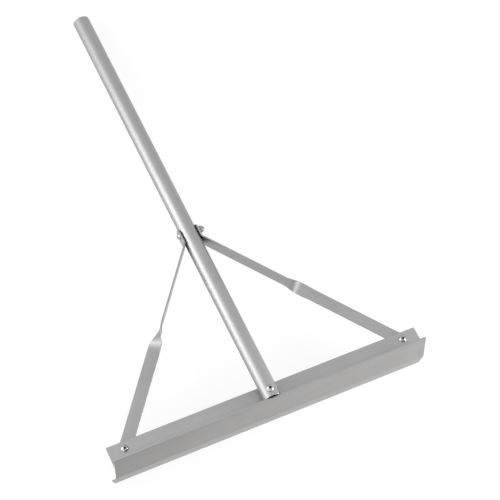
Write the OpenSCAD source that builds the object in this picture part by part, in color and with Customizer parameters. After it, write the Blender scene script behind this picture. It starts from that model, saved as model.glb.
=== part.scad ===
// Asphalt rake: a levelling blade on a tube handle, held square by two twisted flat-bar braces.
// Millimetres. The rake lies on its back, bolt heads up: X along the blade, +Y up the handle, +Z up.
// The modules draw the rake in its own axes first: x along the blade, y up the handle from the
// rib's top edge, z forward from the rib's front face. laid() then lays it on the ground.

/* [Blade] */
// Length of the blade
blade_length = 650; // [400:10:1000]
// Thickness of the blade's flats
sole_wall = 3.5; // [2.5:0.1:5]
// Width of the front flat, from its front edge back to the first crease
front_flat = 59; // [42:1:80]
// Slope of the front flat, falling towards the back, in degrees
front_slope = 9; // [4:0.5:14]
// Width of the middle flat, between the two creases
middle_flat = 41.3; // [30:0.1:70]
// Slope of the middle flat, rising towards the back, in degrees
middle_slope = 10.3; // [4:0.1:18]
// Width of the turned-up rear flat
rear_flat = 24; // [12:1:40]
// Slope of the rear flat, in degrees
rear_slope = 31; // [22:1:45]
// How far the front edge stands ahead of the rib
front_reach = 30; // [20:1:36]
// Height of the mounting rib above the sole
rib_height = 44; // [38:1:70]
// Thickness of the mounting rib
rib_wall = 3.5; // [2.5:0.1:6]
// Size of the fillets at the foot of the rib
root_fillet = 3; // [1:0.5:4]

/* [Handle] */
// Outside diameter of the handle tube
tube_d = 35; // [30:0.5:45]
// Wall of the handle tube
tube_wall = 2; // [1.5:0.1:4]
// Length of the handle tube
handle_length = 965; // [700:1:1800]
// Clearance between the tube's foot and the front edge of the sole
foot_gap = 1; // [0.5:0.1:3]
// Distance of the foot bolt below the rib's top edge
foot_bolt_drop = 23; // [16:0.5:24]

/* [Braces] */
// Width of the flat bar
brace_width = 25; // [20:1:30]
// Thickness of the flat bar
brace_wall = 3; // [2:0.1:5]
// Distance of each brace bolt from the end of the blade
brace_inset = 32; // [20:1:60]
// Distance of each brace bolt below the rib's top edge
brace_bolt_drop = 15; // [12:0.5:20]
// How far the flat foot of the bar runs past the rib's top edge before it leans forward
foot_rise = 6; // [3:0.5:20]
// Distance along the left bar from its foot bolt to the middle of the twist
left_twist = 234; // [150:1:290]
// Distance along the right bar from its foot bolt to the middle of the twist
right_twist = 229; // [150:1:290]
// Length of the twist
twist_length = 48; // [30:1:70]
// Turn of the left bar's twist, in degrees: the bend makes up the rest of a quarter turn
left_turn = 89; // [75:0.5:95]
// Turn of the right bar's twist, in degrees
right_turn = 82; // [75:0.5:95]
// Height above the rib at which the bars bend onto the handle
bend_height = 333; // [260:1:420]
// Radius of that bend at the middle of the bar
bend_radius = 9; // [6:0.5:16]
// Distance from the bend up to the cross bolt
tab_rise = 23; // [18:0.5:40]

/* [Fasteners] */
// Bolt diameter
bolt_d = 8; // [6:0.5:8]
// Diameter of the button head
head_d = 14; // [12:0.5:16]
// Height of the button head
head_height = 4.4; // [3.6:0.1:6]
// Height of the straight rim under the head's dome
head_rim = 0.8; // [0.4:0.1:1.5]
// Width across the flats of the head's socket
socket_width = 5; // [3:0.5:6]
// Depth of the socket
socket_depth = 2.6; // [1.5:0.1:3]
// Diameter of the washers
washer_d = 16; // [14:0.5:20]
// Thickness of the washers
washer_wall = 1.6; // [1:0.1:2.5]
// Width across the flats of the nuts
nut_width = 13; // [12:0.5:16]
// Height of the six-sided part of the nuts
nut_height = 6.5; // [5:0.1:8]
// Diameter of the round collar on each lock nut
collar_d = 11.8; // [11.4:0.1:12]
// Height of that collar
collar_height = 2; // [1.5:0.1:3]
// Diameter of the nut's locking insert
insert_d = 10.4; // [10:0.1:10.6]
// Height of the insert
insert_height = 1.6; // [1:0.1:2.5]
// Length of thread that shows past each nut
tip_length = 2; // [1:0.5:6]
// Chamfer at the tip of each bolt
tip_chamfer = 0.8; // [0.4:0.1:1.5]

/* [Fits] */
// Clearance on the diameter of the bolt holes
hole_clearance = 0.6; // [0.3:0.1:1]
// Gap all round between a bolt and what is threaded on it
thread_gap = 0.1; // [0.05:0.05:0.2]
// Gap between the round tube and the flats that it bears on
seat_gap = 0.1; // [0.05:0.05:0.3]

/* [Hidden] */

// Facets of the round shapes
$fn = 96;
// Flat steps that round off an edge, a fillet or the end of a bar
round_steps = 8;
// Rings along the twist and along the bend
twist_steps = 16;
bend_steps = 6;
// How far a cut runs past the face that it starts from
overrun = 1;

// Blade section, as [forward, up] points: the middle of the wall from the front edge to the rear edge
half_wall = sole_wall / 2;
front_start = front_reach - half_wall;
front_way = [-cos(front_slope), -sin(front_slope)];
middle_way = [-cos(middle_slope), sin(middle_slope)];
rear_way = [-cos(rear_slope), sin(rear_slope)];
sole_front = [front_start, front_start * tan(front_slope) - rib_height - half_wall / cos(front_slope)];
sole_crease = sole_front + front_flat * front_way;
sole_turn = sole_crease + middle_flat * middle_way;
sole_rear = sole_turn + rear_flat * rear_way;

// Normal of a flat on its upper side, and the mitre between the normals of two flats
function upper(way) = [way.y, -way.x];
function mitre(a, b) = (a + b) / (1 + a * b);
// Half round edge from the side s round the tip t of a flat that ends at p
function edge(p, s, t) = [
    for (i = [0:round_steps])
        let (angle = 180 * i / round_steps)
        p + half_wall * (s * cos(angle) + t * sin(angle))
];

// Fillet at the foot of the rib: a curve that leaves a towards the corner and arrives at b from it
function fillet(a, corner, b) = [
    for (i = [0:round_steps])
        let (t = i / round_steps)
        a * (1 - t) * (1 - t) + corner * 2 * t * (1 - t) + b * t * t
];

front_root = [0, -rib_height];
rear_root = front_root - rib_wall * [1, tan(front_slope)];
along_sole = root_fillet * [1, tan(front_slope)];
up_rib = [0, root_fillet];
crease_mitre = half_wall * mitre(upper(front_way), upper(middle_way));
turn_mitre = half_wall * mitre(upper(middle_way), upper(rear_way));
// Outline of the section: round the front edge, up and over the rib, round the rear edge and back below
blade_outline = concat(
    edge(sole_front, -upper(front_way), -front_way),
    fillet(front_root + along_sole, front_root, front_root + up_rib),
    [[0, 0], [-rib_wall, 0]],
    fillet(rear_root + up_rib, rear_root, rear_root - along_sole),
    [sole_crease + crease_mitre, sole_turn + turn_mitre],
    edge(sole_rear, upper(rear_way), rear_way),
    [sole_turn - turn_mitre, sole_crease - crease_mitre]
);

// Handle: its axis lies in front of the rib, and its foot clears the sole's front edge
tube_axis = tube_d / 2 + seat_gap;
tube_foot = front_reach * tan(front_slope) - rib_height + foot_gap;
handle_top = tube_foot + handle_length;

// Braces: side -1 is the left one, side 1 the right one
function foot_point(side) =
    [side * (blade_length / 2 - brace_inset), -brace_bolt_drop, -rib_wall - brace_wall / 2];
function bend_point(side) = [side * (tube_axis + brace_wall / 2), bend_height, tube_axis];
function tab_point(side) = bend_point(side) + [0, tab_rise, 0];
function unit(v) = v / norm(v);
function flat_way(side) = let (d = bend_point(side) - foot_point(side)) unit([d.x, d.y, 0]);
function lean_point(side) =
    foot_point(side) + flat_way(side) * (brace_bolt_drop + foot_rise) / flat_way(side).y;
function lean_way(side) = unit(bend_point(side) - lean_point(side));

// Ring of four corners round p, for a bar that runs along way with its width along across
function ring(p, way, across, width) =
    let (w = across * width / 2, t = cross(across, way) * brace_wall / 2)
    [p + w + t, p - w + t, p - w - t, p + w - t];
// Direction of the bar's width: flat on the rib below the twist, forward above it
function flat_across(side) = [flat_way(side).y, -flat_way(side).x, 0];
function forward_across(way) = unit([0, 0, 1] - way.z * way);
function twist_across(side, angle) =
    flat_across(side) * cos(angle) + cross(flat_across(side), lean_way(side)) * sin(angle);
function bar_turn(side) = side < 0 ? left_turn : right_turn;
function bar_twist(side) = side < 0 ? left_twist : right_twist;
// Part of v that stands square to way, and the bar's width a share of the way from v to its place in the tab
function square_to(v, way) = unit(v - (v * way) * way);
function settled(v, way, share) = square_to(v * (1 - share) + forward_across(way) * share, way);

// Rounded end of a bar, centred on p, whose tip points along tip
function end_rings(p, tip, way, across) = [
    for (i = [1:round_steps])
        let (angle = 90 - 90 * i / round_steps)
        ring(p + tip * sin(angle) * brace_width / 2, way, across, brace_width * cos(angle))
];
function reversed(list) = [for (i = [len(list) - 1:-1:0]) list[i]];

// Rings of the twist and of the bend, from the bottom up
function twist_rings(side) = [
    for (i = [0:twist_steps])
        let (run = bar_twist(side) - (brace_bolt_drop + foot_rise) / flat_way(side).y)
        ring(lean_point(side) + lean_way(side) * (run + twist_length * (i / twist_steps - 1 / 2)),
            lean_way(side), twist_across(side, bar_turn(side) * i / twist_steps), brace_width)
];
function bend_rings(side) =
    let (
        way = lean_way(side),
        turn = acos(way.y),
        inward = unit([0, 1, 0] - way.y * way),
        start = bend_point(side) - way * bend_radius * tan(turn / 2),
        across = twist_across(side, bar_turn(side))
    )
    [for (i = [0:bend_steps])
        let (angle = turn * i / bend_steps, now = way * cos(angle) + inward * sin(angle))
        ring(start + bend_radius * (way * sin(angle) + inward * (1 - cos(angle))),
            now, settled(across, now, i / bend_steps), brace_width)];
function brace_rings(side) = concat(
    end_rings(foot_point(side), -flat_way(side), flat_way(side), flat_across(side)),
    [ring(lean_point(side), unit(flat_way(side) + lean_way(side)), flat_across(side), brace_width)],
    twist_rings(side),
    bend_rings(side),
    reversed(end_rings(tab_point(side), [0, 1, 0], [0, 1, 0], [0, 0, 1]))
);

// Fasteners: what each bolt clamps, and how long it is
bolt_r = bolt_d / 2;
hole_r = bolt_r + hole_clearance / 2;
thread_r = bolt_r + thread_gap;
nut_total = nut_height + collar_height;
blade_grip = rib_wall + brace_wall;
foot_grip = tube_axis + tube_d / 2 + rib_wall;
cross_seat = tube_axis + brace_wall;
cross_grip = 2 * cross_seat;
nut_stack = washer_wall + nut_total + tip_length;
dome_rise = head_height - head_rim;
dome_r = (head_d * head_d / 4 + dome_rise * dome_rise) / (2 * dome_rise);

// Laid on its back, the rake touches the ground with the sole's rear edge and the handle's top end
lie_tilt = max([for (p = blade_outline) atan2(seat_gap - p.x, handle_top - p.y)]);
ground = seat_gap * cos(lie_tilt) - handle_top * sin(lie_tilt);
back_end = handle_top * cos(lie_tilt) + (tube_axis + tube_d / 2) * sin(lie_tilt);
front_end = min([for (p = blade_outline) p.y * cos(lie_tilt) + p.x * sin(lie_tilt)]);

aluminium = [0.74, 0.74, 0.75];
bar_metal = [0.68, 0.68, 0.69];
bright_metal = [0.86, 0.86, 0.87];
nylon = [0.90, 0.90, 0.86];

module laid() {
    translate([0, -(front_end + back_end) / 2, -ground])
        rotate([-lie_tilt, 0, 0])
            children();
}

// Places: the origin is the seat under the bolt's head, and the head points along +z
module at_blade_bolt(side) {
    laid() translate([foot_point(side).x, -brace_bolt_drop, 0]) children();
}

module at_foot_bolt() {
    laid() translate([0, -foot_bolt_drop, tube_axis + tube_d / 2]) children();
}

module at_cross_bolt() {
    laid() translate([-cross_seat, tab_point(-1).y, tube_axis]) rotate([0, -90, 0]) children();
}

// Fasteners in their own axes, pointing down from the seat under the head
module button_bolt(grip) {
    shank = grip + nut_stack;
    difference() {
        union() {
            intersection() {
                cylinder(h = head_height, d = head_d);
                translate([0, 0, head_height - dome_r]) sphere(r = dome_r);
            }
            translate([0, 0, tip_chamfer - shank]) cylinder(h = shank - tip_chamfer + head_rim, r = bolt_r);
            translate([0, 0, -shank]) cylinder(h = tip_chamfer, r1 = bolt_r - tip_chamfer, r2 = bolt_r);
        }
        translate([0, 0, head_height - socket_depth])
            cylinder(h = socket_depth + overrun, d = socket_width / cos(30), $fn = 6);
    }
}

module washer(grip) {
    translate([0, 0, -grip - washer_wall])
        difference() {
            cylinder(h = washer_wall, d = washer_d);
            translate([0, 0, -overrun]) cylinder(h = washer_wall + 2 * overrun, r = hole_r);
        }
}

// Six-sided body with its corners turned off, a round collar and a seat for the locking insert
module lock_nut(grip) {
    corner_r = nut_width / 2 / cos(30);
    bevel = (corner_r - nut_width / 2) * tan(30);
    translate([0, 0, -grip - washer_wall - nut_total])
        difference() {
            union() {
                cylinder(h = collar_height + nut_height / 2, d = collar_d);
                translate([0, 0, collar_height])
                    intersection() {
                        cylinder(h = nut_height, r = corner_r, $fn = 6);
                        rotate_extrude()
                            polygon([
                                [0, 0], [nut_width / 2, 0], [corner_r, bevel],
                                [corner_r, nut_height - bevel], [nut_width / 2, nut_height], [0, nut_height]
                            ]);
                    }
            }
            translate([0, 0, -overrun]) cylinder(h = nut_total + 2 * overrun, r = thread_r);
            translate([0, 0, -overrun]) cylinder(h = insert_height + overrun, d = insert_d + 2 * thread_gap);
        }
}

module nut_insert(grip) {
    translate([0, 0, -grip - washer_wall - nut_total])
        difference() {
            cylinder(h = insert_height, d = insert_d);
            translate([0, 0, -overrun]) cylinder(h = insert_height + 2 * overrun, r = thread_r);
        }
}

// Blade: one extruded length, drilled for the two brace bolts and the foot bolt
module blade() {
    color(aluminium)
        laid()
            difference() {
                rotate([0, -90, 0])
                    linear_extrude(height = blade_length, center = true)
                        polygon(blade_outline);
                for (p = [foot_point(-1), foot_point(1), [0, -foot_bolt_drop]])
                    translate([p.x, p.y, -rib_wall - overrun])
                        cylinder(h = rib_wall + 2 * overrun, r = hole_r);
            }
}

// Handle: a plain tube, drilled for the foot bolt and the cross bolt
module handle_tube() {
    color(aluminium)
        laid()
            difference() {
                translate([0, tube_foot, tube_axis])
                    rotate([-90, 0, 0])
                        cylinder(h = handle_length, d = tube_d);
                translate([0, tube_foot - overrun, tube_axis])
                    rotate([-90, 0, 0])
                        cylinder(h = handle_length + 2 * overrun, d = tube_d - 2 * tube_wall);
                translate([0, -foot_bolt_drop, -overrun])
                    cylinder(h = tube_d + seat_gap + 2 * overrun, r = hole_r);
                translate([-cross_seat, tab_point(-1).y, tube_axis])
                    rotate([0, 90, 0])
                        cylinder(h = cross_grip, r = hole_r);
            }
}

// Brace: a flat bar swept through its rings, with one hole at each end
module brace(side) {
    rings = brace_rings(side);
    last = len(rings) - 1;
    sides = [
        for (i = [0:last - 1], j = [0:3])
            let (a = 4 * i + j, b = 4 * i + (j + 1) % 4)
            each [[a, b, b + 4], [a, b + 4, a + 4]]
    ];
    first_cap = [[0, 3, 2], [0, 2, 1]];
    last_cap = [for (f = [[0, 1, 2], [0, 2, 3]]) [for (k = f) 4 * last + k]];
    difference() {
        polyhedron(points = [for (r = rings) each r], faces = concat(sides, first_cap, last_cap));
        translate(foot_point(side) - [0, 0, brace_wall / 2 + overrun])
            cylinder(h = brace_wall + 2 * overrun, r = hole_r);
        translate(tab_point(side) - [brace_wall / 2 + overrun, 0, 0])
            rotate([0, 90, 0])
                cylinder(h = brace_wall + 2 * overrun, r = hole_r);
    }
}

module left_brace() color(bar_metal) laid() brace(-1);
module right_brace() color(bar_metal) laid() brace(1);

module left_blade_bolt() color(bright_metal) at_blade_bolt(-1) button_bolt(blade_grip);
module left_blade_washer() color(bright_metal) at_blade_bolt(-1) washer(blade_grip);
module left_blade_nut() color(bright_metal) at_blade_bolt(-1) lock_nut(blade_grip);
module left_blade_nut_insert() color(nylon) at_blade_bolt(-1) nut_insert(blade_grip);

module right_blade_bolt() color(bright_metal) at_blade_bolt(1) button_bolt(blade_grip);
module right_blade_washer() color(bright_metal) at_blade_bolt(1) washer(blade_grip);
module right_blade_nut() color(bright_metal) at_blade_bolt(1) lock_nut(blade_grip);
module right_blade_nut_insert() color(nylon) at_blade_bolt(1) nut_insert(blade_grip);

module foot_bolt() color(bright_metal) at_foot_bolt() button_bolt(foot_grip);
module foot_washer() color(bright_metal) at_foot_bolt() washer(foot_grip);
module foot_nut() color(bright_metal) at_foot_bolt() lock_nut(foot_grip);
module foot_nut_insert() color(nylon) at_foot_bolt() nut_insert(foot_grip);

module cross_bolt() color(bright_metal) at_cross_bolt() button_bolt(cross_grip);
module cross_washer() color(bright_metal) at_cross_bolt() washer(cross_grip);
module cross_nut() color(bright_metal) at_cross_bolt() lock_nut(cross_grip);
module cross_nut_insert() color(nylon) at_cross_bolt() nut_insert(cross_grip);

handle_tube();
blade();
left_brace();
right_brace();
left_blade_bolt();
left_blade_washer();
left_blade_nut();
left_blade_nut_insert();
right_blade_bolt();
right_blade_washer();
right_blade_nut();
right_blade_nut_insert();
foot_bolt();
foot_washer();
foot_nut();
foot_nut_insert();
cross_bolt();
cross_washer();
cross_nut();
cross_nut_insert();
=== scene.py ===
"""Looks of an asphalt rake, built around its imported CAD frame.

The rake is drawn in millimetres in its own axes: x along the blade, y up the handle from the rib's top
edge, z forward from the rib's front face. A Placement then lays it on its back in the frame, in metres.
"""

import logging
import math
from collections.abc import Callable, Iterable, Sequence
from dataclasses import dataclass, field
from enum import Enum
from functools import cached_property
from itertools import pairwise
from typing import Any

import bmesh
import bpy
from mathutils import Matrix, Vector


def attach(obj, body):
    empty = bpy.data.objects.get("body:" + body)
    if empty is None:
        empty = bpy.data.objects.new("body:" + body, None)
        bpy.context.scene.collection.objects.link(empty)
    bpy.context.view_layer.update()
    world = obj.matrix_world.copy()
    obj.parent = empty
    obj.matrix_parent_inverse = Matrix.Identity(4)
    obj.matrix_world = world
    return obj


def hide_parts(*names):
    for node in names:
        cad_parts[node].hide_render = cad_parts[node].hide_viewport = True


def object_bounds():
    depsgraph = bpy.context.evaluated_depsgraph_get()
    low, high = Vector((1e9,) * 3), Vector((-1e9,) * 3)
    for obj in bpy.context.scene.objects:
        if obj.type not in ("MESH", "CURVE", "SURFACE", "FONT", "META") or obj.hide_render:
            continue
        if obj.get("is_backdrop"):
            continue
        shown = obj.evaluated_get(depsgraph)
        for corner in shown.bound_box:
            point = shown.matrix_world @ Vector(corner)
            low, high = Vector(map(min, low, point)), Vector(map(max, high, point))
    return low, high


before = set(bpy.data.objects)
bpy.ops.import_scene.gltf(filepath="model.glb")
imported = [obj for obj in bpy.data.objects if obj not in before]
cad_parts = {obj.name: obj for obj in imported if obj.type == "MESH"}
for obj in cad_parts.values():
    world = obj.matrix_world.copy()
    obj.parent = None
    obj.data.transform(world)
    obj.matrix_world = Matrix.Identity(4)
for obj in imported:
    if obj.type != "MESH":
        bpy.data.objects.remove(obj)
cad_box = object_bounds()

LOG = logging.getLogger("asphalt_rake")
BODY = "root"
MM = 0.001

# Attributes that the meshes carry for their finishes.
STOCK = "stock"  # where a point lay in the bar, tube or extrusion that the piece was cut from, in metres
WEAR_AND_SHADE = "wear_and_shade"  # 1 on rounded edges, which take a tone of their own (painted shade where it is darker than the metal), and -1 in recesses and a share of that on a nut's flats, where a near-black colour is painted shade

EVEN = 0.5  # the middle of a noise's values
ARC_STEP = math.radians(12)  # the widest step on a rounded corner
ARC_LEAST = 2  # steps on the smallest one
EASE = 0.3  # how far in the middle of an eased edge lies from each side, as a share of the edge
SHARP = math.radians(50)  # faces that meet at more than this aren't shaded as one
HEX = 6  # sides of a nut or a socket
DRILL_SIDES = 48
DRILL_REACH = 2  # how far a drill reaches to each side of the middle of a wall, in walls
OVERCUT = 1.0  # how far a cutter reaches past the piece
QUARTER = math.pi / 2
UNMOVED = Matrix.Identity(4)

Point = tuple[float, float]
Span = tuple[float, float]
Place = tuple[float, float, float]
Colour = tuple[float, float, float, float]
Mesh = bpy.types.Mesh


def grey(level: float, warmth: float = 0.0) -> Colour:
    """A near-neutral colour of a linear level, whose red rises and blue falls by a share of it."""
    return (level * (1 + warmth), level, level * (1 - warmth), 1.0)


# Shader nodes


class Grain(Enum):
    """The axis of the stock that drawing and rolling lines run along."""

    X = 0
    Y = 1
    Z = 2


@dataclass(frozen=True)
class Mottle:
    """A noise: length and width of its blotches in millimetres, its octaves, and where its pattern starts."""

    along: float
    across: float
    detail: float = 2.0
    start: float = 0.0

    def scale(self, grain: Grain) -> list[float]:
        """Blotches in a metre along x, y and z."""
        return [1 / (MM * (self.along if axis is grain else self.across)) for axis in Grain]


class Signal:
    """One value in a finish's nodes, which Python's operators combine through Math nodes."""

    def __init__(self, graph: "Graph", socket: bpy.types.NodeSocket) -> None:
        """Wraps an output socket of a graph."""
        self.graph = graph
        self.socket = socket

    def _maths(self, operation: str, *terms: "Signal | float") -> "Signal":
        """One Math node, with its inputs in order."""
        return self.graph.make("ShaderNodeMath", {"operation": operation}, dict(enumerate(terms)), "Value")

    def __add__(self, other: "Signal | float") -> "Signal":
        """Adds."""
        return self._maths("ADD", self, other)

    def __radd__(self, other: float) -> "Signal":
        """Adds, with the number first."""
        return self._maths("ADD", other, self)

    def __sub__(self, other: "Signal | float") -> "Signal":
        """Subtracts."""
        return self._maths("SUBTRACT", self, other)

    def __rsub__(self, other: float) -> "Signal":
        """Subtracts from a number."""
        return self._maths("SUBTRACT", other, self)

    def __mul__(self, other: "Signal | float") -> "Signal":
        """Multiplies."""
        return self._maths("MULTIPLY", self, other)

    def __rmul__(self, other: float) -> "Signal":
        """Multiplies, with the number first."""
        return self._maths("MULTIPLY", other, self)

    def swing(self, weight: float) -> "Signal":
        """How far a noise lies from its middle, times a weight."""
        return (self - EVEN) * weight

    def limited(self) -> "Signal":
        """The value kept between 0 and 1."""
        return self._maths("MINIMUM", self._maths("MAXIMUM", self, 0.0), 1.0)

    def step(self, low: float, high: float) -> "Signal":
        """A smooth step that leaves 0 at low and reaches 1 at high."""
        limits = {"Value": self, "From Min": low, "From Max": high}
        return self.graph.make("ShaderNodeMapRange", {"interpolation_type": "SMOOTHSTEP"}, limits, "Result")


class Graph:
    """The nodes of one material or of the world."""

    def __init__(self, tree: bpy.types.NodeTree) -> None:
        """Empties a node tree to fill it."""
        self.tree = tree
        tree.nodes.clear()

    def node(self, kind: str, settings: dict[str, Any], inputs: dict[str | int, Any]) -> bpy.types.Node:
        """Adds any node.

        Args:
            kind: The node's type.
            settings: Its properties, set before its sockets.
            inputs: Values or signals by socket name, identifier or place.

        Returns:
            The node.
        """
        node = self.tree.nodes.new(kind)
        for key, value in settings.items():
            setattr(node, key, value)
        for key, value in inputs.items():
            socket = self._socket(node.inputs, key)
            if isinstance(value, Signal):
                self.tree.links.new(value.socket, socket)
            else:
                socket.default_value = value
        return node

    def make(
        self, kind: str, settings: dict[str, Any], inputs: dict[str | int, Any], output: str
    ) -> Signal:
        """Adds any node and takes its output of that name or identifier."""
        return Signal(self, self._socket(self.node(kind, settings, inputs).outputs, output))

    @staticmethod
    def _socket(sockets: bpy.types.bpy_prop_collection, key: str | int) -> bpy.types.NodeSocket:
        """Finds one of a node's inputs or outputs by its place, identifier or name."""
        found = None if isinstance(key, int) else next((s for s in sockets if s.identifier == key), None)
        return found or sockets[key]

    def stock(self) -> Signal:
        """The place in the piece's stock, in metres."""
        return self.make("ShaderNodeAttribute", {"attribute_name": STOCK}, {}, "Vector")

    def wear_and_shade(self) -> tuple[Signal, Signal]:
        """How far the mesh marks a place as an edge, and how much painted shade it gives it."""
        wear_and_shade = self.make("ShaderNodeAttribute", {"attribute_name": WEAR_AND_SHADE}, {}, "Fac")
        return wear_and_shade.limited(), (0.0 - wear_and_shade).limited()

    def noise(self, place: Signal, mottle: Mottle, grain: Grain = Grain.Z) -> Signal:
        """Noise with values about one half.

        Args:
            place: Coordinates in metres.
            mottle: Its blotches.
            grain: The axis that they run along.

        Returns:
            The noise.
        """
        stretch = {0: place, 1: mottle.scale(grain), 2: [mottle.start] * 3}
        moved = self.make("ShaderNodeVectorMath", {"operation": "MULTIPLY_ADD"}, stretch, "Vector")
        blotches = {"Vector": moved, "Scale": 1.0, "Detail": mottle.detail}
        return self.make("ShaderNodeTexNoise", {}, blotches, "Fac")

    def mix(self, share: Signal, first: "Signal | Colour", second: "Signal | Colour") -> Signal:
        """Mixes two colours: the first at a share of 0, the second at 1."""
        sockets = {"Factor_Float": share, "A_Color": first, "B_Color": second}
        return self.make("ShaderNodeMix", {"data_type": "RGBA"}, sockets, "Result_Color")

    def bump(self, height: Signal, depth: float) -> Signal:
        """The normal of a height from 0 to 1, where 1 stands for a depth in millimetres."""
        return self.make("ShaderNodeBump", {}, {"Height": height, "Distance": depth * MM}, "Normal")

    def shader(self, skin: Signal, rough: Signal, normal: Signal, metallic: float) -> Signal:
        """A skin as the light meets it."""
        sockets = {"Base Color": skin, "Roughness": rough, "Normal": normal, "Metallic": metallic}
        return self.make("ShaderNodeBsdfPrincipled", {}, sockets, "BSDF")

    def rays(self) -> tuple[Signal, Signal]:
        """Tells the rays that show a thing to the eye from those that only light things.

        Returns:
            1 for rays from the camera, and 1 for rays from metal and through glass.
        """
        path = self.node("ShaderNodeLightPath", {}, {})
        kinds = ("Is Camera Ray", "Is Glossy Ray", "Is Transmission Ray")
        camera, glossy, through = (Signal(self, path.outputs[kind]) for kind in kinds)
        return camera, (glossy + through).limited()


# Finishes


@dataclass(frozen=True)
class Patchy:
    """A share that follows a cloud of noise: where it starts, and how much of the cloud it takes on."""

    start: float
    cloud: float

    def share(self, cloud: Signal) -> Signal:
        """The share, kept between 0 and 1."""
        return (self.start + cloud * self.cloud).limited()


@dataclass(frozen=True)
class Finish:
    """A procedural surface, made into a material once."""

    name: str

    def surface(self, graph: Graph) -> Signal:
        """The finish's shader, in the material's nodes."""
        raise NotImplementedError

    def material(self) -> bpy.types.Material:
        """Makes the material.

        Returns:
            The material.
        """
        material = bpy.data.materials.new(self.name)
        material.use_nodes = True
        graph = Graph(material.node_tree)
        graph.node("ShaderNodeOutputMaterial", {}, {"Surface": self.surface(graph)})
        return material


@dataclass(frozen=True)
class SatinAluminium(Finish):
    """Drawn, extruded or rolled aluminium: a satin skin with fine lines along the grain.

    Edges have a tone of their own: a lighter one stands for use, and a darker one, as on the blade and
    braces, is painted shade. Recesses that the mesh marks take a near-black colour, which is painted shade. A
    field that ends in tone, rough or smooth says how far that pattern moves the colour or the roughness.
    """

    grain: Grain
    level: float = 0.372
    roughness: float = 0.52
    contrast: float = 0.10
    edge_tone: float = 0.08
    painted_shade: Colour = (0.05, 0.05, 0.05, 1.0)
    lines: Mottle = Mottle(240.0, 0.9, 3.0)
    bands: Mottle = Mottle(900.0, 9.0, 2.0, 3.7)
    cloud: Mottle = Mottle(70.0, 70.0, 4.0, 8.1)
    grit: Mottle = Mottle(0.35, 0.35, 1.0, 5.3)
    patch: Mottle = Mottle(120.0, 120.0, 2.0, 17.3)
    scuff: Mottle = Mottle(26.0, 0.8, 2.0, 11.9)
    patch_edge: Span = (0.50, 0.62)
    scuff_edge: Span = (0.66, 0.74)
    edge_patches: Patchy = Patchy(0.55, 0.9)
    painted_shade_patches: Patchy = Patchy(0.7, 0.4)
    cloud_tone: float = 0.9
    band_tone: float = 0.8
    line_tone: float = 0.5
    scuff_tone: float = 0.35
    edge_mark_tone: float = 0.8
    line_rough: float = 0.10
    cloud_rough: float = 0.08
    rub_smooth: float = 0.10
    scuff_smooth: float = 0.08
    painted_shade_rough: float = 0.3
    line_height: float = 0.6
    relief: float = 0.012

    def surface(self, graph: Graph) -> Signal:
        """The satin metal's shader.

        Args:
            graph: The material's nodes.

        Returns:
            The shader's output.
        """
        stock = graph.stock()
        patterns = (self.lines, self.bands, self.cloud, self.grit, self.patch, self.scuff)
        lines, bands, cloud, grit, patch, marks = (graph.noise(stock, p, self.grain) for p in patterns)
        scuff = patch.step(*self.patch_edge) * marks.step(*self.scuff_edge)
        edge_mark, painted_shade = graph.wear_and_shade()
        edge_mark = edge_mark * self.edge_patches.share(cloud)
        tones = (self.level * (1 + change) for change in (-self.contrast, self.contrast, self.edge_tone))
        dark, light, bright = (grey(tone) for tone in tones)
        tone = EVEN + cloud.swing(self.cloud_tone) + bands.swing(self.band_tone) + lines.swing(self.line_tone)
        skin = graph.mix(tone, dark, light)
        skin = graph.mix(scuff * self.scuff_tone, skin, bright)
        # Edge tone; where it is darker than the metal, as on the blade and braces, it is painted shade.
        skin = graph.mix(edge_mark * self.edge_mark_tone, skin, bright)
        # Painted shade: a near-black colour in the recesses that the mesh marks, such as the tube's bore.
        skin = graph.mix(painted_shade * self.painted_shade_patches.share(cloud), skin, self.painted_shade)
        rough = self.roughness + lines.swing(self.line_rough) + cloud.swing(self.cloud_rough)
        rough = rough - edge_mark * self.rub_smooth - scuff * self.scuff_smooth + painted_shade * self.painted_shade_rough
        height = lines * self.line_height + grit * (1 - self.line_height)
        return graph.shader(skin, rough, graph.bump(height, self.relief), 1.0)


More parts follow.
